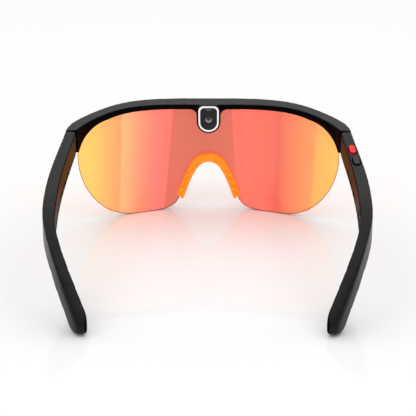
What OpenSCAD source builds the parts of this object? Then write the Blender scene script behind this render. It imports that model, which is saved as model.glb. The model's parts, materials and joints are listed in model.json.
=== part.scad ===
// Sports sunglasses with built-in camera and bone-conduction audio.
// One curved shield lens hangs from a brow bar that carries the camera pod.
// Two hollow temples fold on screw hinges and hold the electronics.
// X is across the face, +Y points forwards, +Z is up, millimetres.
// The origin is at the bottom centre of the bounding box.

/* [Overall] */
// Width of the brow bar, outside to outside at the hinges
frame_w = 137.6; // [114:0.2:166]
// Widest distance over the two temples
spread_w = 149; // [138:0.5:179]
// Length from the front of the brow to the temple tips
overall_len = 148; // [124:1:178]
// Height of the brow's top over the surface the glasses rest on
brow_z = 57; // [56:0.5:69]

/* [Brow bar] */
// Distance from the foremost face back to the hinge seam
front_depth = 37; // [31:0.5:45]
// Depth of the brow bar, front to back, at the centre
brow_depth = 9.4; // [8.5:0.1:11.5]
// Height of the front of the brow bar at the centre
brow_h = 7; // [6:0.1:8.5]
// Height of the lip behind the lens at the centre
lip_h = 2.8; // [2.3:0.1:3.4]
// Height of the brow bar at the hinge
hinge_h = 11.4; // [10:0.1:13.6]
// Drop from the brow's top to the top of the hinge
hinge_drop = 3; // [2:0.1:4]

/* [Shield lens] */
// Radius of the lens's outer surface
lens_r = 105; // [95:1:127]
// Thickness of the lens
lens_t = 1.6; // [1.3:0.1:2]
// Width of the lens
lens_w = 128.4; // [127.4:0.2:129.6]
// Height of the lens's bulge centre over the resting surface
lens_mid_z = 28; // [23:0.5:34]
// Distance from the centre line to the lowest point of each lobe
lobe_x = 36; // [30:0.5:43]
// Distance the lowest points sit behind the front of the brow
lens_setback = 11.3; // [9.8:0.1:12.8]
// Gap all round the lens in its groove
lens_gap = 0.1; // [0.05:0.01:0.15]

/* [Nose pad] */
// Height of the nose arch's crown over the resting surface
nose_z = 28.9; // [25:0.1:34]
// Thickness of the arch at its crown
nose_t = 4.1; // [3.5:0.1:4.9]
// Half the distance between the outer faces of the two feet
nose_half = 15.9; // [14.4:0.1:18]
// Thickness of each leg
leg_t = 3.4; // [2.9:0.1:4.1]
// Thickness of the pad behind the lens
nose_back = 2.8; // [2.2:0.1:3.4]
// Thickness of the lip in front of the lens
nose_lip = 0.8; // [0.7:0.05:1]
// Height of the feet's lower edge
nose_foot_z = 6; // [5:0.1:7.2]

/* [Camera pod] */
// Width of the pod
pod_w = 11.8; // [11.2:0.1:14]
// Height of the pod
pod_h = 14.8; // [13.6:0.1:17]
// Distance from the pod's front face to its rear face
pod_depth = 10.5; // [10:0.1:12.6]
// Width of the band of the indicator ring
ring_w = 0.85; // [0.7:0.05:1]
// Distance from the pod's edge to the ring
ring_inset = 0.85; // [0.7:0.05:1]
// Depth of the groove that holds the ring
ring_depth = 0.8; // [0.6:0.05:1]
// Radius of the camera's front window
window_r = 2.7; // [2.2:0.1:2.9]
// Radius of the lens barrel behind the window
barrel_r = 2.4; // [2:0.1:2.6]
// Radius of the wear sensor's metal bezel
bezel_r = 1.7; // [1.4:0.05:2.1]

/* [Temples] */
// Width of the temple at the hinge
temple_w = 5.2; // [4.8:0.1:6.3]
// Width of the temple where the two are furthest apart
temple_mid_w = 6; // [5.4:0.1:7.2]
// Height of the temple at the hinge
temple_h = 11.4; // [10.2:0.1:13.6]
// Height of the temple at its bend
temple_mid_h = 12.6; // [11.6:0.1:14.4]
// Radius of the rounded tip, seen from the side
tip_r = 4.6; // [4:0.1:5.6]
// Radius of the rounded tip, seen from above
tip_plan_r = 3; // [2.7:0.1:3.6]
// Half the distance between the two tips' centres
tip_half = 55.2; // [48:0.2:60]
// Angle of the tip below level
tip_angle = 48.6; // [40:0.2:56]
// Thickness of the temple's inner wall
wall = 1.2; // [1:0.05:1.4]
// Thickness of the outer cover
cover_t = 1.1; // [0.9:0.05:1.3]
// Width of the rim of the body round the cover
rim = 1.1; // [0.9:0.05:1.3]
// Gap between the cover and the rim
cover_gap = 0.1; // [0.05:0.01:0.15]

/* [Hinges] */
// Gap between the brow and the temple at the seam
seam_gap = 0.3; // [0.25:0.01:0.4]
// Radius of the hinge eyes
eye_r = 1.6; // [1.4:0.05:1.65]
// Radius of the hinge screw
pin_r = 0.7; // [0.6:0.02:0.84]
// Radial clearance of the screw in the eyes
pin_gap = 0.04; // [0.02:0.01:0.08]
// Radius of the rounded inner corner of the temple
corner_r = 1.8; // [1.75:0.05:2.1]
// Height of the stack of three hinge eyes
eye_stack = 7.4; // [6.4:0.1:7.8]
// Thickness of the hinge leaves
leaf_t = 1.2; // [1:0.05:1.4]

/* [Buttons] */
// Length of the buttons
button_l = 7.4; // [6.2:0.1:8.9]
// Width of the buttons
button_w = 2.8; // [2.4:0.1:3.2]
// Height the buttons stand over the temple
button_rise = 0.5; // [0.4:0.05:0.6]
// Travel of the buttons
button_travel = 0.4; // [0.3:0.05:0.48]
// Gap round the buttons
button_gap = 0.25; // [0.2:0.01:0.3]
// Distance from the hinge seam back to the record button's centre
record_back = 19.3; // [17:0.1:22]
// Distance between the two buttons' centres
button_pitch = 11; // [10:0.1:13.2]

/* [Hidden] */

frame_grey = [0.2, 0.2, 0.21];
cover_grey = [0.16, 0.16, 0.17];
pad_orange = [1, 0.55, 0.1];
board_green = [0.1, 0.35, 0.2];
steel = [0.75, 0.75, 0.78];
black = [0.06, 0.06, 0.07];
foil = [0.6, 0.62, 0.66];

big = 400;
// A small overlap that keeps cut faces apart.
eps = 0.01;
round_fn = 48;
bez_n = 12;

// A cubic curve from a to d, with b and c as its handles, in n steps.
function bez(a, b, c, d, n = bez_n) = [
    for (i = [0 : n])
        let (t = i / n, u = 1 - t)
        u * u * u * a + 3 * u * u * t * b + 3 * u * t * t * c + t * t * t * d
];
function rev(list) = [for (i = [len(list) - 1 : -1 : 0]) list[i]];
function flip_x(list) = [for (p = rev(list)) [-p.x, p.y]];
function cut_first(list) = [for (i = [1 : len(list) - 1]) list[i]];
// The direction of a curve at its point i.
function along(list, i) =
    let (a = list[max(i - 1, 0)], b = list[min(i + 1, len(list) - 1)])
    (b - a) / norm(b - a);
// A curve moved sideways, to the right of its direction.
function beside(list, d) = [
    for (i = [0 : len(list) - 1])
        let (v = along(list, i))
        list[i] + d * [v.y, -v.x]
];
function arc(centre, r, from, to, n = 8) = [
    for (i = [0 : n])
        let (a = from + (to - from) * i / n)
        centre + r * [cos(a), sin(a)]
];

front_y = overall_len / 2;
rear_y = -overall_len / 2;
frame_half = frame_w / 2;
spread_half = spread_w / 2;
lens_half = lens_w / 2;

// ---- Shield lens ----
contact_y = front_y - lens_setback;
lens_cy = contact_y - sqrt(lens_r * lens_r - lobe_x * lobe_x - lens_mid_z * lens_mid_z);
lens_in_r = lens_r - lens_t;
lens_top = brow_z - 1.6;
lens_side_z = brow_z - 21;
notch_lip = 0.6;
// Height of the end pieces' lower edge, where they meet the lens.
end_low_z = brow_z - 18.8;

// Half of the lens's outline seen from the front, from the top centre to the nose.
lens_top_edge = bez([0, lens_top], [lens_half * 0.34, lens_top + 0.4],
                    [lens_half * 0.6, lens_top + 1.2], [lens_half * 0.776, brow_z - 3]);
lens_corner = bez([lens_half * 0.776, brow_z - 3], [lens_half * 0.915, brow_z - 4.2],
                  [lens_half, brow_z - 10], [lens_half, lens_side_z]);
lens_lobe = bez([lens_half, lens_side_z], [lens_half + 0.7, lens_side_z * 0.56],
                [lens_half - 9.4, 0], [lobe_x, 0]);
nose_edge_x = nose_half - leg_t / 2;
nose_edge_z = nose_foot_z + 2;
nose_edge_top = nose_z - nose_t / 2;
lens_inner_lobe = bez([lobe_x, 0], [lobe_x - 14, 0],
                      [nose_edge_x + 2, 0], [nose_edge_x, nose_edge_z], 8);
lens_nose = bez([nose_edge_x, nose_edge_z], [nose_edge_x - 4.9, nose_edge_z + 11.7],
                [nose_edge_x - 7.3, nose_edge_top], [0, nose_edge_top], 8);
lens_half_outline = concat(lens_top_edge, cut_first(lens_corner), cut_first(lens_lobe),
                           cut_first(lens_inner_lobe), cut_first(lens_nose));

// ---- Nose pad ----
rib_count = 4;
rib_w = 0.8;
rib_pitch = 3.6;
rib_depth = 0.5;
rib_lean = 28;
leg_lean = 0.42;

// ---- Brow bar ----
brow_back_y = front_y - brow_depth;
hinge_y = front_y - front_depth;
hinge_top_z = brow_z - hinge_drop;
inner_hinge_x = frame_half - temple_w - 0.2;

// Front and back edges seen from above, from the centre to the hinge.
brow_front_edge = bez([0, front_y], [frame_half * 0.39, front_y],
                      [frame_half - 1.4, front_y - 9.4], [frame_half, hinge_y], 16);
brow_back_edge = bez([0, brow_back_y], [inner_hinge_x * 0.883, brow_back_y],
                     [inner_hinge_x - 2.2, hinge_y + 3.5], [inner_hinge_x, hinge_y], 16);
// Edges seen from the front, from the centre outwards.
brow_top_edge = concat(
    bez([0, brow_z], [frame_half * 0.35, brow_z + 0.4],
        [frame_half * 0.52, brow_z + 1.8], [frame_half * 0.727, brow_z - 0.5]),
    cut_first(bez([frame_half * 0.727, brow_z - 0.5], [frame_half * 0.83, brow_z - 1.7],
                  [frame_half * 0.92, hinge_top_z], [frame_half + 1, hinge_top_z], 8)));
lip_edge = concat(
    bez([0, brow_z - lip_h], [lens_half * 0.34, brow_z - lip_h + 0.7],
        [lens_half * 0.59, brow_z - lip_h + 1.9], [lens_half * 0.762, brow_z - 3.9]),
    cut_first(bez([lens_half * 0.762, brow_z - 3.9], [lens_half * 0.885, brow_z - 4.8],
                  [lens_half - 1.2, brow_z - 9.6], [lens_half - 1.1, end_low_z], 10)));
bar_edge = concat(
    bez([0, brow_z - brow_h], [lens_half * 0.34, brow_z - brow_h + 0.6],
        [lens_half * 0.59, brow_z - brow_h + 1], [lens_half * 0.767, brow_z - 8.6]),
    cut_first(bez([lens_half * 0.767, brow_z - 8.6], [lens_half * 0.854, brow_z - 10.4],
                  [lens_half - 4.4, brow_z - 14.5], [lens_half - 2.4, end_low_z], 8)));
end_rise = 4.4;

// ---- Camera pod ----
pod_r = pod_w / 2;
pod_back_y = front_y - pod_depth;
pod_low_z = brow_z - pod_h;
pod_mid_z = pod_low_z + pod_r;
pod_fillet = 3.6;
fillet_reach = 20;
ring_r = pod_r - ring_inset;
panel_r = ring_r - ring_w;
panel_t = 1;
panel_ledge = 0.5;
cavity_r = panel_r - panel_ledge;
ring_top_z = brow_z - 0.45;
panel_top_z = ring_top_z - ring_w;
pod_wall = 1.6;
camera_z = pod_mid_z + 1.3;
window_t = 0.6;
bezel_band = 0.9;
camera_seat = 1.1;
sensor_z = pod_mid_z + 1.6;
bar_l = 2.6;
bar_h = 0.7;
bar_t = 0.4;
bar_z = panel_top_z - 1.1;
camera_barrel_l = 2.4;
module_w = 2 * cavity_r - 1.8;
module_t = 2;
flex_h = 2;
flex_t = 0.3;
flex_gap = 0.3;
flex_top_z = hinge_top_z - 1.2;
flex_shift = 2.2;

// ---- Temples ----
temple_front_y = hinge_y - seam_gap;
mid_y = rear_y + 44;
temple_top_z = hinge_top_z;
tip_dir = [-cos(tip_angle), -sin(tip_angle)];
tip_up = [-sin(tip_angle), cos(tip_angle)];
tip_centre = [rear_y + tip_r, tip_r];
bend_z = temple_top_z * 0.833;
// Upper and lower edges seen from the side, as [Y, Z], from the hinge to the tip.
top_line = concat(
    bez([temple_front_y, temple_top_z], [temple_front_y - 24.7, temple_top_z - 2],
        [mid_y + 20, bend_z + 5], [mid_y + 4, bend_z]),
    cut_first(bez([mid_y + 4, bend_z], [mid_y - 12, bend_z - 5],
                  tip_centre + tip_r * tip_up - 21 * tip_dir,
                  tip_centre + tip_r * tip_up)));
function temple_height(i) =
    i < bez_n + 2 ? temple_h + (temple_mid_h - temple_h) * min(1, i / bez_n)
                  : temple_mid_h + (2 * tip_r - temple_mid_h) * min(1, (i - bez_n - 2) / 5);
low_line = concat(
    [[temple_front_y, temple_top_z - temple_h]],
    [for (i = [1 : len(top_line) - 2])
        let (v = along(top_line, i))
        top_line[i] + temple_height(i) * [-v.y, v.x]]);
side_outline = concat(top_line,
                      cut_first(arc(tip_centre, tip_r, 90 + tip_angle, 270 + tip_angle, 10)),
                      rev(low_line));

// Outer and inner edges seen from above, from the hinge to the tip.
plan_angle = 31;
plan_dir = [-sin(plan_angle), -cos(plan_angle)];
plan_out = [cos(plan_angle), -sin(plan_angle)];
plan_centre = [tip_half, rear_y + tip_plan_r];
outer_line = concat(
    bez([frame_half, temple_front_y], [frame_half + 2.2, temple_front_y - 24.7],
        [spread_half, mid_y + 24], [spread_half, mid_y]),
    cut_first(bez([spread_half, mid_y], [spread_half, mid_y - 15],
                  plan_centre + tip_plan_r * plan_out - 5 * plan_dir,
                  plan_centre + tip_plan_r * plan_out)));
inner_mid_x = spread_half - temple_mid_w;
inner_x0 = frame_half - temple_w;
inner_line = concat(
    bez([inner_x0, temple_front_y - corner_r], [inner_x0 + 1.4, temple_front_y - 18.7],
        [inner_mid_x, mid_y + 20], [inner_mid_x, mid_y - 4]),
    cut_first(bez([inner_mid_x, mid_y - 4], [inner_mid_x, mid_y - 16],
                  plan_centre - tip_plan_r * plan_out - 8 * plan_dir,
                  plan_centre - tip_plan_r * plan_out)));
axis_x = inner_x0 + corner_r;
axis_y = temple_front_y - corner_r;
plan_outline = concat(
    outer_line,
    cut_first(arc(plan_centre, tip_plan_r, -plan_angle, -180 - plan_angle, 10)),
    cut_first(rev(inner_line)),
    cut_first(arc([axis_x, axis_y], corner_r, 180, 90, 6)));

// Heights and places along a temple, by Y.
function top_at(y) = lookup(y, [for (p = top_line) [p.x, p.y]]);
function outer_at(y) = lookup(y, [for (p = outer_line) [p.y, p.x]]);
function inner_at(y) = lookup(y, [for (p = inner_line) [p.y, p.x]]);
function slope_at(y) = atan((top_at(y + 5) - top_at(y - 5)) / 10);
function heading_at(y) = -atan((inner_at(y + 5) - inner_at(y - 5)) / 10);

inner_space = temple_mid_w - wall - cover_t;
record_y = hinge_y - record_back;
power_y = record_y - button_pitch;
flange = 0.45;
flange_t = 0.5;
flange_gap = 0.15;
stem_l = 0.8;
ledge = 0.6;
roof = rim + ledge;
switch_gap = button_travel + 0.05;
switch_h = 1;
switch_w = 1.8;
switch_l = 3;
stem_w = 1.4;
stem_len = 2.4;

// ---- Parts inside the temples ----
leaf_l = 8;
front_leaf_l = 6;
hinge_room_y = axis_y - leaf_l - 1;
eye_mid_z = hinge_top_z - hinge_h / 2;
eye_low_z = eye_mid_z - eye_stack / 2;
eye_gap = 0.2;
eye_h = (eye_stack - 2 * eye_gap) / 3;
eye_room = eye_r + 0.6;
pin_head_r = 1.1;
pin_head_t = 0.6;
cover_start_y = hinge_room_y - 1.2;
cavity_start_y = cover_start_y - 1;
board_t = 0.8;
board_l = 20;
board_h = 3.4;
board_y = cavity_start_y - 1.4 - board_l / 2;
switch_drop = roof + flange_gap + flange_t + stem_l + switch_gap + switch_h;
board_drop = switch_drop + 0.1;
boss_h = 1;
boss_r = 1.1;
screw_r = 0.4;
screw_reach = 7.6;
screw_sunk = 0.4;
screw_head_t = 0.4;
screw_drop = board_drop + 1.4;
battery_l = 20;
battery_h = 6.5;
battery_t = 2.2;
battery_y = mid_y + 7.5;
battery_drop = 2.7;
slot_y = power_y - 6.7;
slot_pitch = 9;
slot_l = 5;
slot_h = 1;
slot_drop = 9.4;
transducer_l = 11;
transducer_h = 5.4;
transducer_t = 1.6;
transducer_y = slot_y - 5.8;
transducer_drop = 4.6;
mesh_t = 0.25;
mesh_gap = 0.2;
mesh_l = 24;
mesh_h = 1.4;
mic_r = 1;
mic_hole_r = 0.4;
mic_y = cavity_start_y - mic_r - 1.8;
contact_pad_y = mid_y - 2;
contact_r = 1;
contact_pitch = 5;
contact_recess = 0.3;
contact_drop = 6;
contact_pad_h = 5;
contact_reach = 0.4;

module plan(points) { translate([0, 0, -big / 2]) linear_extrude(big) polygon(points); }
module side_view(points) {
    translate([-big / 2, 0, 0]) rotate([90, 0, 90]) linear_extrude(big) polygon(points);
}
module on_left() { mirror([1, 0, 0]) children(); }
// Draws in a frame on the temple's top edge, turned along the temple.
module at_top(y) {
    translate([(inner_at(y) + outer_at(y)) / 2, y, top_at(y)])
        rotate([slope_at(y), 0, heading_at(y)])
            children();
}
// Draws in a frame on the inner edge of the top, turned along the temple.
module at_inner(y) {
    translate([inner_at(y), y, top_at(y)])
        rotate([slope_at(y), 0, heading_at(y)])
            children();
}
module stadium(l, w) {
    hull_l = (l - w) / 2;
    square([w, 2 * hull_l], center = true);
    for (s = [-1, 1])
        translate([0, s * hull_l])
            circle(d = w, $fn = round_fn);
}
// The rounded U of the pod and of the pieces set in its rear face.
module pod_outline(r, top) {
    translate([0, pod_mid_z])
        circle(r, $fn = round_fn);
    translate([-r, pod_mid_z])
        square([2 * r, top - pod_mid_z - r / 2]);
    translate([-r / 2, pod_mid_z])
        square([r, top - pod_mid_z]);
    for (s = [-1, 1])
        translate([s * r / 2, top - r / 2])
            circle(r / 2, $fn = round_fn);
}
// Extrudes a front-view outline backwards, from y by depth.
module slab(y, depth) {
    translate([0, y, 0])
        rotate([90, 0, 0])
            linear_extrude(depth)
                children();
}

// ---- Front ----
module lens_outline(grow) {
    offset(delta = grow)
        difference() {
            polygon(concat(lens_half_outline, flip_x(lens_half_outline)));
            offset(delta = -notch_lip)
                pod_outline(pod_r, brow_z + 2);
        }
}
module lens_shell(grow) {
    intersection() {
        slab(front_y + 5, 60)
            lens_outline(grow);
        difference() {
            translate([0, lens_cy, lens_mid_z])
                sphere(lens_r + grow, $fn = 180);
            translate([0, lens_cy, lens_mid_z])
                sphere(lens_in_r - grow, $fn = 180);
        }
    }
}
module shield_lens() {
    color([1, 0.5, 0.35])
        lens_shell(0);
}
module brow_plan() {
    plan(concat(rev(brow_front_edge), flip_x(rev(brow_front_edge)),
                flip_x(brow_back_edge), brow_back_edge));
}
module under(edge) {
    right = concat(edge, [[frame_half + 1, end_low_z]], rev(brow_top_edge));
    polygon(concat(right, flip_x(right)));
}
module brow_bar() {
    intersection() {
        brow_plan();
        union() {
            slab(front_y + 5, 60)
                under(lip_edge);
            difference() {
                slab(front_y + 5, 60)
                    under(bar_edge);
                translate([0, lens_cy, lens_mid_z])
                    sphere(lens_r, $fn = 180);
            }
        }
    }
}
// The end pieces' lower edges rise towards the hinges.
module end_trim() {
    side_view([
        [hinge_y - 5, end_low_z - 10], [front_y - 22, end_low_z - 10],
        [front_y - 22, end_low_z], [hinge_y, end_low_z + end_rise],
        [hinge_y - 5, end_low_z + end_rise]
    ]);
}
module pod_fillets() {
    for (s = [-1, 1])
        translate([s * (pod_r + pod_fillet / 2 - 0.05), brow_z - lip_h - pod_fillet / 2 + 0.3])
            difference() {
                square([pod_fillet + 0.1, pod_fillet + 1], center = true);
                translate([s * pod_fillet / 2, -pod_fillet / 2])
                    circle(pod_fillet, $fn = round_fn);
            }
}
module hinge_leaf_room() {
    translate([axis_x - 0.2, hinge_y - 1, eye_low_z])
        cube([leaf_t, front_leaf_l + 1, eye_stack]);
}
// The two strips that run from the pod to the hinges, inside the bar.
module flex_strips(gap) {
    line = beside(brow_front_edge, flex_shift);
    right = [for (p = line) if (p.y > hinge_y + front_leaf_l + 2 && p.x > cavity_r) p];
    half = concat(beside(right, -flex_t / 2 - gap), rev(beside(right, flex_t / 2 + gap)));
    translate([0, 0, flex_top_z - flex_h - gap])
        linear_extrude(flex_h + 2 * gap) {
            polygon(half);
            mirror([1, 0])
                polygon(half);
        }
}
module brow_frame() {
    color(frame_grey)
        difference() {
            union() {
                difference() {
                    brow_bar();
                    end_trim();
                }
                slab(front_y, pod_depth)
                    pod_outline(pod_r, brow_z);
                intersection() {
                    slab(front_y - 1, brow_depth - 1)
                        pod_fillets();
                    plan([[-fillet_reach, brow_back_y], [fillet_reach, brow_back_y],
                          [fillet_reach, front_y], [-fillet_reach, front_y]]);
                }
            }
            lens_shell(lens_gap);
            slab(pod_back_y + ring_depth, ring_depth + 1)
                pod_outline(ring_r, ring_top_z);
            slab(pod_back_y + panel_t + 0.2, panel_t + 1)
                pod_outline(panel_r, panel_top_z);
            slab(front_y - pod_wall, pod_depth - pod_wall + 1)
                pod_outline(cavity_r, panel_top_z - panel_ledge);
            translate([0, front_y + 1, camera_z])
                rotate([90, 0, 0])
                    cylinder(r = window_r + bezel_band, h = 1 + camera_seat, $fn = round_fn);
            translate([0, front_y + 1, camera_z])
                rotate([90, 0, 0])
                    cylinder(r = barrel_r + 0.15, h = 1 + pod_wall + 1, $fn = round_fn);
            hinge_leaf_room();
            on_left()
                hinge_leaf_room();
            flex_strips(flex_gap);
        }
}
module nose_outline() {
    outer = bez([nose_half, nose_foot_z + 2.2], [nose_half - 5.5, nose_foot_z + 15.5],
                [nose_half - 7.7, nose_z], [0, nose_z]);
    inner_z = nose_z - nose_t;
    inner_foot = [nose_half - leg_t, nose_foot_z + 0.6];
    inner = bez(inner_foot, inner_foot + [-4.3, 11.4], [inner_foot.x - 6.9, inner_z],
                [0, inner_z]);
    right = concat([[inner_foot.x + 0.7, nose_foot_z]], outer);
    polygon(concat(right, flip_x(right), flip_x(rev(inner)), rev(inner)));
}
// Slanted grooves across the rear faces of the two legs.
module nose_ribs() {
    back_r = lens_in_r - nose_back;
    for (s = [-1, 1], i = [1 : rib_count])
        let (z = nose_foot_z + i * rib_pitch,
             x = nose_half - leg_t / 2 - leg_lean * (z - nose_foot_z),
             y = lens_cy + sqrt(back_r * back_r - x * x - (z - lens_mid_z) * (z - lens_mid_z)))
        translate([s * x, y, z])
            rotate([0, s * rib_lean, 0])
                cube([leg_t + 3, 2 * rib_depth, rib_w], center = true);
}
module nose_pad() {
    color(pad_orange)
        difference() {
            intersection() {
                slab(front_y + 2, 20)
                    nose_outline();
                translate([0, lens_cy, lens_mid_z])
                    sphere(lens_r + nose_lip, $fn = 180);
            }
            translate([0, lens_cy, lens_mid_z])
                sphere(lens_in_r - nose_back, $fn = 180);
            lens_shell(0);
            nose_ribs();
        }
}
module indicator_ring() {
    color("white")
        slab(pod_back_y + ring_depth, ring_depth)
            difference() {
                pod_outline(ring_r, ring_top_z);
                pod_outline(panel_r, panel_top_z);
            }
}
module sensor_panel() {
    color(black)
        difference() {
            slab(pod_back_y + panel_t + 0.2, panel_t)
                pod_outline(panel_r, panel_top_z);
            translate([0, pod_back_y + panel_t + 1, sensor_z])
                rotate([90, 0, 0])
                    cylinder(r = bezel_r, h = panel_t + 2, $fn = round_fn);
            translate([-bar_l / 2, pod_back_y - 1, bar_z - bar_h / 2])
                cube([bar_l, 1.2 + bar_t, bar_h]);
        }
}
module sensor_bezel() {
    color(steel)
        translate([0, pod_back_y + 0.1 + panel_t, sensor_z])
            rotate([90, 0, 0])
                difference() {
                    cylinder(r = bezel_r, h = panel_t, $fn = round_fn);
                    translate([0, 0, -1])
                        cylinder(r = bezel_r / 2, h = panel_t + 2, $fn = round_fn);
                }
}
module sensor_lens() {
    color(black)
        translate([0, pod_back_y + 0.3 + panel_t, sensor_z])
            rotate([90, 0, 0])
                cylinder(r = bezel_r / 2, h = panel_t, $fn = round_fn);
}
module status_bar() {
    color(foil)
        translate([-bar_l / 2, pod_back_y + 0.2, bar_z - bar_h / 2])
            cube([bar_l, bar_t, bar_h]);
}
module camera_module() {
    color(board_green)
        translate([-module_w / 2, front_y - pod_wall - camera_barrel_l - module_t,
                   camera_z - module_w / 2])
            cube([module_w, module_t, module_w]);
}
module camera_barrel() {
    color(black)
        translate([0, front_y - camera_seat, camera_z])
            rotate([90, 0, 0])
                cylinder(r = barrel_r, h = pod_wall - camera_seat + camera_barrel_l,
                         $fn = round_fn);
}
module camera_bezel() {
    color(steel)
        translate([0, front_y, camera_z])
            rotate([90, 0, 0])
                difference() {
                    cylinder(r = window_r + bezel_band, h = camera_seat, $fn = round_fn);
                    translate([0, 0, -1])
                        cylinder(r = window_r, h = camera_seat + 2, $fn = round_fn);
                }
}
module camera_window() {
    color(black)
        translate([0, front_y - camera_seat + window_t, camera_z])
            rotate([90, 0, 0])
                cylinder(r = window_r, h = window_t, $fn = round_fn);
}
module brow_flex() {
    color([0.8, 0.45, 0.1])
        flex_strips(0);
}

// ---- Hinges ----
module eye(z) {
    translate([axis_x, axis_y, z])
        cylinder(r = eye_r, h = eye_h, $fn = round_fn);
}
module pin_hole() {
    translate([axis_x, axis_y, eye_low_z - 1])
        cylinder(r = pin_r + pin_gap, h = eye_stack + 2, $fn = round_fn);
}
module front_hinge() {
    color(steel)
        difference() {
            union() {
                for (z = [eye_low_z, eye_low_z + 2 * (eye_h + eye_gap)]) {
                    eye(z);
                    translate([axis_x - 0.2, axis_y, z])
                        cube([leaf_t, corner_r + seam_gap + front_leaf_l, eye_h]);
                }
                translate([axis_x - 0.2, hinge_y, eye_low_z])
                    cube([leaf_t, front_leaf_l, eye_stack]);
            }
            pin_hole();
        }
}
module hinge_pin() {
    color(steel) {
        translate([axis_x, axis_y, eye_low_z])
            cylinder(r = pin_r, h = eye_stack, $fn = round_fn);
        translate([axis_x, axis_y, eye_low_z - pin_head_t])
            cylinder(r = pin_head_r, h = pin_head_t, $fn = round_fn);
    }
}
module temple_leaf() {
    color(steel)
        difference() {
            union() {
                eye(eye_low_z + eye_h + eye_gap);
                translate([axis_x - leaf_t / 2, axis_y - leaf_l, eye_low_z + eye_h + eye_gap])
                    cube([leaf_t, leaf_l, eye_h]);
                translate([axis_x - leaf_t / 2, axis_y - leaf_l - 1, eye_low_z])
                    cube([leaf_t, leaf_l + 1 - eye_room - 0.5, eye_stack]);
            }
            pin_hole();
        }
}
module front_hinge_right() { front_hinge(); }
module front_hinge_left() { on_left() front_hinge(); }
module hinge_pin_right() { hinge_pin(); }
module hinge_pin_left() { on_left() hinge_pin(); }
module right_hinge_leaf() { temple_leaf(); }
module left_hinge_leaf() { on_left() temple_leaf(); }

// ---- Temples ----
module temple_side(inset) {
    translate([-big / 2, 0, 0])
        rotate([90, 0, 90])
            linear_extrude(big)
                offset(delta = -inset)
                    polygon(side_outline);
}
// Everything behind a plane across the temples.
module behind(y) {
    translate([-big / 2, y - big, -big / 2])
        cube(big);
}
// A strip along the outer face, from depth a to depth b below it.
module outer_strip(a, b) {
    plan(concat(beside(outer_line, a), rev(beside(outer_line, b))));
}
module cover_room() {
    intersection() {
        outer_strip(-1, cover_t);
        temple_side(rim);
        behind(cover_start_y);
    }
}
module cavity() {
    intersection() {
        plan(concat(beside(outer_line, cover_t - eps), rev(beside(inner_line, -wall))));
        temple_side(roof);
        behind(cavity_start_y);
    }
}
module temple_solid() {
    intersection() {
        plan(plan_outline);
        temple_side(0);
    }
}
module leaf_room() {
    translate([axis_x, axis_y, eye_low_z - pin_head_t - 0.1])
        cylinder(r = eye_room, h = eye_stack + pin_head_t + 0.4, $fn = round_fn);
    translate([axis_x, axis_y, 0])
        cylinder(r = pin_head_r + 0.15, h = eye_mid_z, $fn = round_fn);
    translate([axis_x - leaf_t / 2, axis_y - leaf_l - 1, eye_low_z])
        cube([leaf_t, leaf_l + 1, eye_stack]);
}
module slots() {
    for (i = [0 : 2])
        at_inner(slot_y + (1 - i) * slot_pitch)
            translate([wall / 2, 0, -slot_drop])
                rotate([0, 90, 0])
                    linear_extrude(wall + 2, center = true)
                        stadium(slot_l, slot_h);
}
module bosses() {
    for (s = [-1, 1])
        at_inner(board_y)
            translate([wall - 0.3, s * screw_reach, -screw_drop])
                rotate([0, 90, 0])
                    cylinder(r = boss_r, h = boss_h + 0.3, $fn = 24);
}
module screw_holes() {
    for (s = [-1, 1])
        at_inner(board_y)
            translate([wall - screw_sunk, s * screw_reach, -screw_drop])
                rotate([0, 90, 0])
                    cylinder(r = screw_r, h = screw_sunk + boss_h + board_t + 1, $fn = 24);
}
module temple_shell() {
    difference() {
        union() {
            difference() {
                temple_solid();
                cover_room();
                cavity();
            }
            bosses();
        }
        leaf_room();
        slots();
        screw_holes();
        mic_hole();
    }
}
module mic_hole() {
    at_inner(mic_y)
        translate([wall + mic_r + 0.1, 0, -temple_h - 2])
            cylinder(r = mic_hole_r, h = 5, $fn = 24);
}
module temple_cover() {
    color(cover_grey)
        intersection() {
            outer_strip(0, cover_t);
            temple_side(rim + cover_gap);
            plan(plan_outline);
            behind(cover_start_y - cover_gap);
        }
}
module battery() {
    color(foil)
        at_inner(battery_y)
            translate([wall + (inner_space - battery_t) / 2, -battery_l / 2,
                       -battery_drop - battery_h])
                cube([battery_t, battery_l, battery_h]);
}
module board() {
    color(board_green)
        difference() {
            at_inner(board_y)
                translate([wall + boss_h, -board_l / 2, -board_drop - board_h])
                    cube([board_t, board_l, board_h]);
            screw_holes();
        }
}
module board_screws() {
    color(steel)
        for (s = [-1, 1])
            at_inner(board_y)
                translate([wall - screw_sunk, s * screw_reach, -screw_drop])
                    rotate([0, 90, 0]) {
                        cylinder(r = screw_r, h = screw_sunk + boss_h + board_t, $fn = 24);
                        translate([0, 0, screw_sunk + boss_h + board_t])
                            cylinder(r = 2 * screw_r, h = screw_head_t, $fn = 24);
                    }
}
module transducer() {
    color(black)
        at_inner(transducer_y)
            translate([wall + mesh_t + 2 * mesh_gap, -transducer_l / 2,
                       -transducer_drop - transducer_h])
                cube([transducer_t, transducer_l, transducer_h]);
}
module speaker_mesh() {
    near = wall + mesh_gap;
    color(steel)
        intersection() {
            plan(concat(beside(inner_line, -near), rev(beside(inner_line, -near - mesh_t))));
            at_inner(slot_y)
                translate([-temple_w, -mesh_l / 2, -slot_drop - mesh_h / 2])
                    cube([3 * temple_w, mesh_l, mesh_h]);
        }
}
module mic() {
    color(foil)
        at_inner(mic_y)
            translate([wall + mic_r + 0.1, 0, -temple_h + roof + 0.2])
                cylinder(r = mic_r, h = mic_r, $fn = 24);
}
module left_body() { color(frame_grey) on_left() temple_shell(); }
module left_cover() { on_left() temple_cover(); }
module left_battery() { on_left() battery(); }
module left_board() { on_left() board(); }
module left_transducer() { on_left() transducer(); }
module left_mesh() { on_left() speaker_mesh(); }
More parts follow.
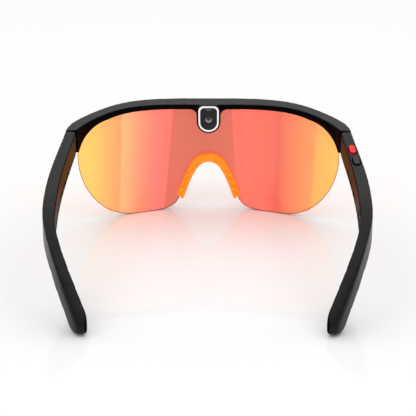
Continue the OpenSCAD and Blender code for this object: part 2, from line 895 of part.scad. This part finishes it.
module left_mic() { on_left() mic(); }
module left_screws() { on_left() board_screws(); }

module button_room(y) {
    at_top(y) {
        translate([0, 0, -roof - 1])
            linear_extrude(roof + 3)
                stadium(button_l + 2 * button_gap, button_w + 2 * button_gap);
    }
}
module contact_room() {
    at_inner(contact_pad_y)
        translate([-3, -contact_pitch, -contact_drop - contact_pad_h / 2])
            cube([3 + contact_recess, 2 * contact_pitch, contact_pad_h]);
}
module contact_bodies() {
    for (s = [-1, 1])
        at_inner(contact_pad_y)
            translate([contact_recess, s * contact_pitch / 2, -contact_drop])
                rotate([0, 90, 0])
                    cylinder(r = contact_r, h = wall - contact_recess + contact_reach,
                             $fn = 32);
}
module right_body() {
    color(frame_grey)
        difference() {
            temple_shell();
            button_room(record_y);
            button_room(power_y);
            contact_room();
            contact_bodies();
        }
}
module right_cover() { temple_cover(); }
module right_battery() { battery(); }
module right_board() { board(); }
module right_transducer() { transducer(); }
module right_mesh() { speaker_mesh(); }
module right_mic() { mic(); }
module right_screws() { board_screws(); }
module charge_contacts() {
    color([0.85, 0.7, 0.35])
        contact_bodies();
}
module button_switches() {
    color(foil)
        for (y = [record_y, power_y])
            at_top(y)
                translate([-switch_w / 2, -switch_l / 2, -switch_drop])
                    cube([switch_w, switch_l, switch_h]);
}
module button(y) {
    at_top(y) {
        translate([0, 0, -roof - flange_gap - 0.1])
            linear_extrude(roof + flange_gap + 0.1 + button_rise)
                stadium(button_l, button_w);
        translate([0, 0, -roof - flange_gap - flange_t])
            linear_extrude(flange_t)
                stadium(button_l + 2 * (button_gap + flange), button_w);
        translate([0, 0, -roof - flange_gap - flange_t - stem_l])
            linear_extrude(stem_l + 0.1)
                stadium(stem_len, stem_w);
    }
}
module record_button() { color("red") button(record_y); }
module power_button() { color(black) button(power_y); }

brow_frame();
shield_lens();
nose_pad();
indicator_ring();
sensor_panel();
sensor_bezel();
sensor_lens();
status_bar();
camera_module();
camera_barrel();
camera_bezel();
camera_window();
brow_flex();
front_hinge_left();
front_hinge_right();
hinge_pin_left();
hinge_pin_right();
left_body();
left_cover();
left_hinge_leaf();
left_battery();
left_board();
left_transducer();
left_mesh();
left_mic();
left_screws();
right_body();
right_cover();
right_hinge_leaf();
right_battery();
right_board();
right_transducer();
right_mesh();
right_mic();
right_screws();
button_switches();
charge_contacts();
record_button();
power_button();
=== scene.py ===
"""Camera sunglasses with bone-conduction temples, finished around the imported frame."""
import json
import math

import bpy
from mathutils import Matrix, Vector


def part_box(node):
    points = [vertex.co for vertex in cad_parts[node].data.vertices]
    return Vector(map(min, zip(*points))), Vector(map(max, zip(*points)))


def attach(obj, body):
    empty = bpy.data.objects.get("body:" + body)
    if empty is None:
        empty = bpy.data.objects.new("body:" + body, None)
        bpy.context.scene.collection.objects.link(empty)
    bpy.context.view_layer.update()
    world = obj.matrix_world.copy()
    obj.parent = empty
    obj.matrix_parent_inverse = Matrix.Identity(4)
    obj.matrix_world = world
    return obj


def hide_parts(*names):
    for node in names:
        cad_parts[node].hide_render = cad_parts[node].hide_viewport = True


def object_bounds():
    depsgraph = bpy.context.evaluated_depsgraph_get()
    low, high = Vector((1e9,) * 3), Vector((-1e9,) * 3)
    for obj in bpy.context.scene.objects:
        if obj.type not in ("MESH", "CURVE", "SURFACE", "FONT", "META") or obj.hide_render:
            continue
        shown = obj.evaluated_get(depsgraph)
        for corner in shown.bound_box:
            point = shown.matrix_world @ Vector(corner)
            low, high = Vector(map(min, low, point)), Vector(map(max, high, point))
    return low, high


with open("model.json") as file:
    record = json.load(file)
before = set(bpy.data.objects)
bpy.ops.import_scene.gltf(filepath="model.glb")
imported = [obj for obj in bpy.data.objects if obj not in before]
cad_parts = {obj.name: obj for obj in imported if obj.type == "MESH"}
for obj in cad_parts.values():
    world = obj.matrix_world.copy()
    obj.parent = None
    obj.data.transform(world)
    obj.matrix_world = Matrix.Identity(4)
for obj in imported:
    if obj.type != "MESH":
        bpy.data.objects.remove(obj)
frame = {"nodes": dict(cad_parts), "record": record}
CAD_BOX = [list(corner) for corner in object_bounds()]

MM = 0.001
WELD = 0.002 * MM
LOW, HIGH = (Vector(corner) for corner in CAD_BOX)
BODY_OF = {node: body for body, nodes in frame["record"]["behaviour"]["bodies"].items()
           for node in nodes}


# ---- Working with pieces ----

def only(piece):
    """Selects one piece, and nothing else, and makes it the active one."""
    bpy.ops.object.select_all(action="DESELECT")
    piece.select_set(True)
    bpy.context.view_layer.objects.active = piece
    return piece


def cad_copy(node, name):
    """A copy of a CAD node with its loose triangles merged into one skin."""
    piece = bpy.data.objects.new(name, frame["nodes"][node].data.copy())
    bpy.context.scene.collection.objects.link(piece)
    piece.data.name = name
    only(piece)
    bpy.ops.object.mode_set(mode="EDIT")
    bpy.ops.mesh.select_all(action="SELECT")
    bpy.ops.mesh.remove_doubles(threshold=WELD)
    bpy.ops.mesh.dissolve_limited(angle_limit=math.radians(0.6))
    bpy.ops.object.mode_set(mode="OBJECT")
    return piece


def modified(piece, kind, **settings):
    """Adds one modifier to a piece and applies it at once."""
    only(piece)
    modifier = piece.modifiers.new(kind.lower(), kind)
    for name, value in settings.items():
        setattr(modifier, name, value)
    bpy.ops.object.modifier_apply(modifier=modifier.name)
    return piece


def joined(first, *others):
    """Joins pieces into the first one."""
    only(first)
    for other in others:
        other.select_set(True)
    bpy.ops.object.join()
    return first


def softened(piece, grain, rounds):
    """Rebuilds a piece as an even skin of faces grain mm wide and melts its edges round."""
    modified(piece, "REMESH", mode="VOXEL", voxel_size=grain * MM, adaptivity=0.0)
    modified(piece, "SMOOTH", factor=0.5, iterations=rounds)
    return smooth(piece, 60)


def smooth(piece, angle):
    """Shades a piece smooth, but for edges sharper than angle degrees."""
    only(piece)
    bpy.ops.object.shade_smooth_by_angle(angle=math.radians(angle))
    return piece


def melt(piece, inside, rounds):
    """Smooths the points of a piece for which inside(point) is true."""
    only(piece)
    bpy.ops.object.mode_set(mode="EDIT")
    bpy.ops.mesh.select_mode(type="VERT")
    bpy.ops.mesh.select_all(action="DESELECT")
    bpy.ops.object.mode_set(mode="OBJECT")
    for point in piece.data.vertices:
        point.select = inside(point.co)
    bpy.ops.object.mode_set(mode="EDIT")
    bpy.ops.mesh.vertices_smooth(factor=0.5, repeat=rounds)
    bpy.ops.object.mode_set(mode="OBJECT")
    return piece


def carved(piece, tool):
    """Keeps only what a piece shares with the tool."""
    only(piece)
    cut = piece.modifiers.new("shape", "BOOLEAN")
    cut.operation = "INTERSECT"
    cut.solver = "EXACT"
    cut.object = tool
    bpy.ops.object.modifier_apply(modifier=cut.name)
    return smooth(piece, 35)


def finished(piece, body, skins, nodes=()):
    """Gives a piece its materials, its body and the CAD nodes it stands for."""
    piece.data.materials.clear()
    for skin in skins:
        piece.data.materials.append(skin)
    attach(piece, body)
    if nodes:
        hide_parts(*nodes)
    return piece


def dress(node, *skins):
    """Puts materials on a CAD node that stays in sight."""
    mesh = frame["nodes"][node].data
    mesh.materials.clear()
    for skin in skins:
        mesh.materials.append(skin)


# ---- Materials ----

class Finish:
    """A material with a Principled shader, and short ways to add nodes to it."""

    def __init__(self, name, **sockets):
        self.skin = bpy.data.materials.new(name)
        self.skin.use_nodes = True
        self.nodes = self.skin.node_tree.nodes
        self.links = self.skin.node_tree.links
        self.shader = self.nodes["Principled BSDF"]
        for socket, value in sockets.items():
            self.shader.inputs[socket.replace("_", " ")].default_value = value
        self.place = self.nodes.new("ShaderNodeTexCoord").outputs["Object"]
        self.height = None

    def noise(self, size, detail=2.0, stretch=(1, 1, 1)):
        """Noise whose blobs are about size metres across."""
        mapping = self.nodes.new("ShaderNodeMapping")
        mapping.inputs["Scale"].default_value = stretch
        self.links.new(self.place, mapping.inputs["Vector"])
        noise = self.nodes.new("ShaderNodeTexNoise")
        noise.inputs["Scale"].default_value = 1 / size
        noise.inputs["Detail"].default_value = detail
        self.links.new(mapping.outputs["Vector"], noise.inputs["Vector"])
        return noise.outputs["Fac"]

    def ramp(self, value, stops):
        """Colours or greys by value: stops are (place, colour)."""
        node = self.nodes.new("ShaderNodeValToRGB")
        ramp = node.color_ramp
        for i, (at, colour) in enumerate(stops):
            stop = ramp.elements[i] if i < 2 else ramp.elements.new(at)
            stop.position = at
            stop.color = (*colour, 1) if hasattr(colour, "__len__") else (colour,) * 3 + (1,)
        self.links.new(value, node.inputs["Fac"])
        return node.outputs["Color"]

    def spread(self, value, low, high):
        """A value from 0 to 1 taken to the range low to high."""
        node = self.nodes.new("ShaderNodeMapRange")
        node.inputs["To Min"].default_value = low
        node.inputs["To Max"].default_value = high
        self.links.new(value, node.inputs["Value"])
        return node.outputs["Result"]

    def feed(self, socket, value):
        """Links a value to one of the shader's sockets."""
        self.links.new(value, self.shader.inputs[socket])
        return self

    def relief(self, value, depth, strength=1.0):
        """Adds a bump whose height is depth metres, on top of any bump before it."""
        bump = self.nodes.new("ShaderNodeBump")
        bump.inputs["Distance"].default_value = depth
        bump.inputs["Strength"].default_value = strength
        self.links.new(value, bump.inputs["Height"])
        if self.height is not None:
            self.links.new(self.height, bump.inputs["Normal"])
        self.height = bump.outputs["Normal"]
        self.links.new(self.height, self.shader.inputs["Normal"])
        return self


def satin_nylon(name, dark, light, shine):
    """Moulded nylon: a fine spark-eroded grain with faint flow marks and handling shine."""
    nylon = Finish(name, IOR=1.45, Specular_IOR_Level=shine)
    flow = nylon.noise(9 * MM, 3)
    nylon.feed("Base Color", nylon.ramp(flow, [(0.3, dark), (0.7, light)]))
    nylon.feed("Roughness", nylon.spread(nylon.noise(2.5 * MM, 4), 0.26, 0.38))
    nylon.relief(nylon.noise(0.22 * MM, 2), 0.012 * MM, 0.6)
    return nylon.skin


FRAME_SKIN = satin_nylon("frame_plastic", (0.003, 0.003, 0.003), (0.006, 0.006, 0.006), 0.21)
# Painted shade: a darker, duller copy of the frame nylon, for the faces that look towards the
# head.
SHADED_NYLON_SKIN = satin_nylon("frame_painted_shade", (0.002, 0.002, 0.002), (0.003, 0.003, 0.003), 0.012)
COVER_SKIN = satin_nylon("cover_plastic", (0.003, 0.003, 0.003), (0.005, 0.005, 0.005), 0.21)


BAND_LEAN = 0.16


def lens_coating(name, strength, painted_glow):
    """A mirror-coated orange lens: the orange tint is its own colour, while the bands of yellow,
    orange and salmon that lean with the curve are painted reflection, and its emission glow in
    the same colours is painted light.
    """
    coat = Finish(name, IOR=1.5, Transmission_Weight=0.3, Specular_IOR_Level=0.4)
    axes = coat.nodes.new("ShaderNodeSeparateXYZ")
    coat.links.new(coat.place, axes.inputs["Vector"])
    low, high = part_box("shield_lens")

    def sum_of(value, factor, extra):
        """value times factor plus extra, where each is a number or a socket."""
        node = coat.nodes.new("ShaderNodeMath")
        node.operation = "MULTIPLY_ADD"
        for socket, given in zip(node.inputs, (value, factor, extra)):
            if isinstance(given, (int, float)):
                socket.default_value = given
            else:
                coat.links.new(given, socket)
        return node.outputs["Value"]

    width = high.x - low.x
    across = sum_of(axes.outputs["X"], 1 / width, 0.5)
    lean = coat.ramp(across, [(0.0, 0.56), (0.157, 0.56), (0.344, 1.0), (0.601, 0.0),
                              (0.913, 0.71)])
    middle = (low.z + high.z) / 2
    rise = sum_of(axes.outputs["Z"], -BAND_LEAN / width, BAND_LEAN * middle / width)
    lean = sum_of(lean, 1.0, -0.375)
    bands = sum_of(lean, rise, across)
    # Painted reflection: colour bands laid out by position stand in for the lamps mirrored in the
    # coat.
    painted_reflection_colours = coat.ramp(bands, [
        (0.0, (1.0, 0.58, 0.13)), (0.055, (1.0, 0.54, 0.13)),
        (0.1, (1.0, 0.45, 0.13)), (0.155, (1.0, 0.34, 0.13)),
        (0.163, (1.0, 0.45, 0.2)), (0.225, (1.0, 0.31, 0.17)),
        (0.285, (1.0, 0.21, 0.16)), (0.342, (0.95, 0.18, 0.14)),
        (0.348, (0.66, 0.15, 0.1)), (0.47, (0.61, 0.15, 0.1)),
        (0.598, (0.66, 0.15, 0.1)), (0.604, (0.97, 0.17, 0.12)),
        (0.72, (0.92, 0.16, 0.11)), (0.77, (0.72, 0.15, 0.1)),
        (0.82, (0.9, 0.22, 0.1)), (0.905, (1.0, 0.32, 0.11)),
        (0.912, (1.0, 0.42, 0.11)), (1.0, (1.0, 0.5, 0.11))])
    shade = coat.nodes.new("ShaderNodeMix")
    shade.data_type = "RGBA"
    shade.blend_type = "MULTIPLY"
    shade.inputs["Factor"].default_value = 1.0
    coat.links.new(painted_reflection_colours, shade.inputs["A"])
    shade.inputs["B"].default_value = (strength, strength, strength, 1)
    coat.feed("Base Color", shade.outputs["Result"])
    # Painted light: the lens glows in its own band colours though it is no lamp.
    coat.feed("Emission Color", painted_reflection_colours)
    coat.shader.inputs["Emission Strength"].default_value = painted_glow
    coat.feed("Roughness", coat.spread(coat.noise(6 * MM, 3), 0.05, 0.1))
    coat.relief(coat.noise(14 * MM, 1), 0.01 * MM, 0.3)
    return coat.skin


# Both lens materials carry the painted reflection bands and a painted glow; the rim is a darker
# copy with less glow.
LENS_SKIN = lens_coating("lens_coating", 0.5, 0.72)
RIM_SKIN = lens_coating("lens_rim", 0.25, 0.12)


def silicone(name, dark, light, painted_glow):
    """Soft silicone rubber: slightly cloudy and with a fine tooth; the light it lets through is
    painted as an emission glow.
    """
    rubber = Finish(name, IOR=1.42, Emission_Color=(*light, 1), Emission_Strength=painted_glow)
    rubber.feed("Base Color", rubber.ramp(rubber.noise(4 * MM, 2), [(0.3, dark), (0.7, light)]))
    rubber.feed("Roughness", rubber.spread(rubber.noise(1.2 * MM, 3), 0.4, 0.55))
    rubber.relief(rubber.noise(0.3 * MM, 2), 0.01 * MM, 0.5)
    return rubber.skin


# Both rubbers carry a painted glow; the second is a darker copy with less glow that paints shade
# on the faces looking inwards and down.
PAD_SKIN = silicone("nose_rubber", (0.95, 0.24, 0.004), (1.0, 0.3, 0.006), 0.3)
PAD_SHADED_SKIN = silicone("nose_rubber_painted_shade", (0.8, 0.12, 0.002), (0.85, 0.16, 0.003), 0.12)


def plain(name, colour, rough, metal=0.0, grain=0.006, **sockets):
    """A finish with slight uneven shine and a very fine grain."""
    finish = Finish(name, Metallic=metal, **sockets)
    shade = [tuple(c * k for c in colour) for k in (0.9, 1.1)]
    finish.feed("Base Color", finish.ramp(finish.noise(3 * MM, 3),
                                          [(0.3, shade[0]), (0.7, shade[1])]))
    finish.feed("Roughness", finish.spread(finish.noise(0.8 * MM, 3), rough * 0.85, rough * 1.15))
    finish.relief(finish.noise(0.15 * MM, 2), grain * MM, 0.5)
    return finish.skin


# Painted glow: the white ring emits light though it is no lamp.
RING_SKIN = plain("ring_white", (0.8, 0.8, 0.8), 0.3, Emission_Color=(1, 1, 1, 1),
                  Emission_Strength=0.3)
PANEL_SKIN = plain("panel_black", (0.004, 0.004, 0.004), 0.12, Specular_IOR_Level=0.3)
STEEL_SKIN = plain("satin_steel", (0.5, 0.5, 0.52), 0.32, metal=1.0)
GLASS_SKIN = plain("optic_glass", (0.01, 0.01, 0.015), 0.05)
BAR_SKIN = plain("status_grey", (0.09, 0.09, 0.095), 0.3)
BOARD_SKIN = plain("board_green", (0.02, 0.12, 0.05), 0.4)
BARREL_SKIN = plain("barrel_black", (0.015, 0.015, 0.016), 0.5)
FLEX_SKIN = plain("flex_copper", (0.5, 0.22, 0.05), 0.35)
HINGE_SKIN = plain("hinge_steel", (0.035, 0.035, 0.038), 0.4, metal=1.0)
FOIL_SKIN = plain("cell_foil", (0.6, 0.61, 0.63), 0.3, metal=1.0)
MESH_SKIN = plain("mesh_steel", (0.15, 0.15, 0.16), 0.4, metal=1.0)
GOLD_SKIN = plain("contact_gold", (0.85, 0.6, 0.25), 0.25, metal=1.0)
RED_SKIN = plain("button_red", (0.85, 0.012, 0.012), 0.3, Specular_IOR_Level=0.25)
BLACK_SKIN = plain("button_black", (0.006, 0.006, 0.006), 0.35, Specular_IOR_Level=0.3)


def sensor_ring():
    """A turned metal ring whose top lies in the shade of its recess."""
    ring = Finish("sensor_ring", Metallic=0.6, Roughness=0.3)
    axes = ring.nodes.new("ShaderNodeSeparateXYZ")
    ring.links.new(ring.place, axes.inputs["Vector"])
    height = ring.nodes.new("ShaderNodeMapRange")
    low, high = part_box("sensor_bezel")
    height.inputs["From Min"].default_value = low.z
    height.inputs["From Max"].default_value = high.z
    ring.links.new(axes.outputs["Z"], height.inputs["Value"])
    ring.feed("Base Color", ring.ramp(height.outputs["Result"],
                                      [(0.15, 0.34), (0.75, 0.03)]))
    ring.relief(ring.noise(0.12 * MM, 2), 0.004 * MM, 0.5)
    return ring.skin


SENSOR_SKIN = sensor_ring()

SKINS = {
    "frame_plastic": FRAME_SKIN, "cover_plastic": COVER_SKIN, "lens_coating": LENS_SKIN,
    "nose_rubber": PAD_SKIN, "ring_white": RING_SKIN, "panel_black": PANEL_SKIN,
    "satin_steel": STEEL_SKIN, "optic_glass": GLASS_SKIN, "status_grey": BAR_SKIN,
    "board_green": BOARD_SKIN, "barrel_black": BARREL_SKIN, "flex_copper": FLEX_SKIN,
    "hinge_steel": HINGE_SKIN, "cell_foil": FOIL_SKIN, "mesh_steel": MESH_SKIN,
    "contact_gold": GOLD_SKIN, "button_red": RED_SKIN, "button_black": BLACK_SKIN,
}
for part in frame["record"]["subparts"]:
    dress(part["node"], SKINS[part["material_slot"]])
dress("sensor_bezel", SENSOR_SKIN)


# ---- Temples ----

def paint_shade_on_inner_faces(piece):
    """Gives the faces that look towards the head the second skin, a darker, duller copy of the
    nylon that paints shade on them.
    """
    for face in piece.data.polygons:
        # These faces get the darker copy of the nylon, which paints shade on them.
        inwards = -math.copysign(1, face.center.x) * face.normal.x
        forwards = -face.normal.y if face.center.y > 20 * MM else 0
        face.material_index = 1 if max(inwards, forwards) > 0.55 else 0


FORM_GRAIN = 0.4
TIP_MELTS = ((26, 12), (19, 20), (13, 30))
FORM_SHRINK = 0.04 * MM
COVER_EDGE = 0.3 * MM


def temple(side):
    """A temple's shell and cover, with one rounding that runs over both."""
    body, cover = f"{side}_body", f"{side}_cover"
    form = joined(cad_copy(body, "form"), cad_copy(cover, "cover_form"))
    softened(form, FORM_GRAIN, 16)
    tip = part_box(body)[0].y
    for reach, rounds in TIP_MELTS:
        melt(form, lambda point: point.y < tip + reach * MM, rounds)
    modified(form, "DISPLACE", strength=-FORM_SHRINK, mid_level=0.0)
    for node, name in ((body, f"{side}_shell"), (cover, f"{side}_outer_cover")):
        blank = cad_copy(node, name)
        if node == cover:
            modified(blank, "BEVEL", width=COVER_EDGE, segments=2, limit_method="ANGLE",
                     angle_limit=math.radians(50), use_clamp_overlap=True)
        piece = carved(blank, form)
        skins = [FRAME_SKIN, SHADED_NYLON_SKIN] if node == body else [COVER_SKIN]
        finished(piece, BODY_OF[node], skins, [node])
        if node == body:
            paint_shade_on_inner_faces(piece)
    bpy.data.objects.remove(form, do_unlink=True)


temple("right")
temple("left")


# ---- Front ----

brow = softened(cad_copy("brow_frame", "brow_bar"), 0.32, 5)
finished(brow, BODY_OF["brow_frame"], [FRAME_SKIN, SHADED_NYLON_SKIN], ["brow_frame"])
paint_shade_on_inner_faces(brow)

pad = softened(cad_copy("nose_pad", "nose_arch"), 0.16, 8)
finished(pad, BODY_OF["nose_pad"], [PAD_SKIN, PAD_SHADED_SKIN], ["nose_pad"])
# Faces that look inwards or down get the rubber with painted shade.
for face in pad.data.polygons:
    inwards = -math.copysign(1, face.center.x) * face.normal.x
    face.material_index = 1 if max(inwards, -face.normal.z) > 0.72 else 0

ring = softened(cad_copy("indicator_ring", "ring_painted_glow"), 0.1, 5)
finished(ring, BODY_OF["indicator_ring"], [RING_SKIN], ["indicator_ring"])

for node, skin, slot in (("record_button", RED_SKIN, "button_red"),
                         ("power_button", BLACK_SKIN, "button_black")):
    key = softened(cad_copy(node, node.replace("button", "key")), 0.12, 8)
    finished(key, BODY_OF[node], [skin], [node])


RIM_WIDTH = 0.4 * MM
LENS_MIDDLE = Vector((0, -32 * MM, 28 * MM))


def lens():
    """The shield lens, with a narrow band along its edge in a deeper colour."""
    piece = cad_copy("shield_lens", "mirror_lens")
    finished(piece, BODY_OF["shield_lens"], [RIM_SKIN, LENS_SKIN],
             ["shield_lens"])
    for side in (-1, 1):
        only(piece)
        bpy.ops.object.mode_set(mode="EDIT")
        bpy.ops.mesh.select_mode(type="FACE")
        bpy.ops.mesh.select_all(action="DESELECT")
        bpy.ops.object.mode_set(mode="OBJECT")
        for face in piece.data.polygons:
            face.select = side * face.normal.dot((face.center - LENS_MIDDLE).normalized()) > 0.95
        bpy.ops.object.mode_set(mode="EDIT")
        bpy.ops.mesh.inset(thickness=RIM_WIDTH, use_boundary=True, use_even_offset=True)
        piece.active_material_index = 1
        bpy.ops.object.material_slot_assign()
        bpy.ops.object.mode_set(mode="OBJECT")
    smooth(piece, 30)


lens()


# ---- Studio ----

def floor():
    """A pale polished floor whose shine fades behind the object."""
    bpy.ops.mesh.primitive_plane_add(size=8, location=(0, 0, LOW.z))
    ground = bpy.context.active_object
    ground.name = "floor"
    ground.data.transform(ground.matrix_world)
    ground.matrix_world = Matrix.Identity(4)
    acrylic = Finish("floor_acrylic", Roughness=0.025, IOR=1.45)
    axes = acrylic.nodes.new("ShaderNodeSeparateXYZ")
    acrylic.links.new(acrylic.place, axes.inputs["Vector"])
    along = acrylic.nodes.new("ShaderNodeMapRange")
    along.inputs["From Min"].default_value = LOW.y - 60 * MM
    along.inputs["From Max"].default_value = HIGH.y
    acrylic.links.new(axes.outputs["Y"], along.inputs["Value"])
    acrylic.feed("Specular IOR Level", acrylic.ramp(along.outputs["Result"], [
        (0.0, 0.12), (0.3, 0.4), (0.36, 0.12), (0.5, 0.1), (0.7, 0.28), (0.9, 0.62),
        (1.0, 0.62)]))
    acrylic.shader.inputs["Base Color"].default_value = (0.86, 0.86, 0.86, 1)
    ground.data.materials.append(acrylic.skin)


def softbox(name, place, aim, width, height, power):
    """A rectangular area light at place that points at aim."""
    light = bpy.data.lights.new(name, "AREA")
    light.shape = "RECTANGLE"
    light.size = width
    light.size_y = height
    light.energy = power
    lamp = bpy.data.objects.new(name, light)
    bpy.context.scene.collection.objects.link(lamp)
    lamp.location = place
    lamp.rotation_euler = (Vector(aim) - Vector(place)).to_track_quat("-Z", "Y").to_euler()
    return lamp


def studio():
    """An even white room with one wide lamp overhead."""
    world = bpy.data.worlds.new("studio")
    bpy.context.scene.world = world
    world.use_nodes = True
    sky = world.node_tree.nodes["Background"]
    sky.inputs["Color"].default_value = (1, 1, 1, 1)
    sky.inputs["Strength"].default_value = 0.72
    softbox("overhead", (0, 0.2, 1.5), (0, 0, 0), 2.6, 2.6, 22)
    bpy.context.scene.view_settings.view_transform = "Standard"


def camera():
    """A long lens behind the wearer, above the floor, that looks forwards and down."""
    tilt = math.radians(24)
    turn = math.radians(0.3)
    distance = 0.93
    foot = Vector((0, HIGH.y - 12 * MM, LOW.z))
    back = Vector((math.sin(turn) * math.cos(tilt), -math.cos(turn) * math.cos(tilt),
                   math.sin(tilt)))
    data = bpy.data.cameras.new("camera")
    data.lens = 159.3
    data.sensor_width = 36
    data.shift_x = -0.0014
    data.shift_y = 0.0106
    eye = bpy.data.objects.new("camera", data)
    bpy.context.scene.collection.objects.link(eye)
    eye.location = foot + distance * back
    eye.rotation_euler = (-back).to_track_quat("-Z", "Y").to_euler()
    bpy.context.scene.camera = eye


floor()
studio()
camera()
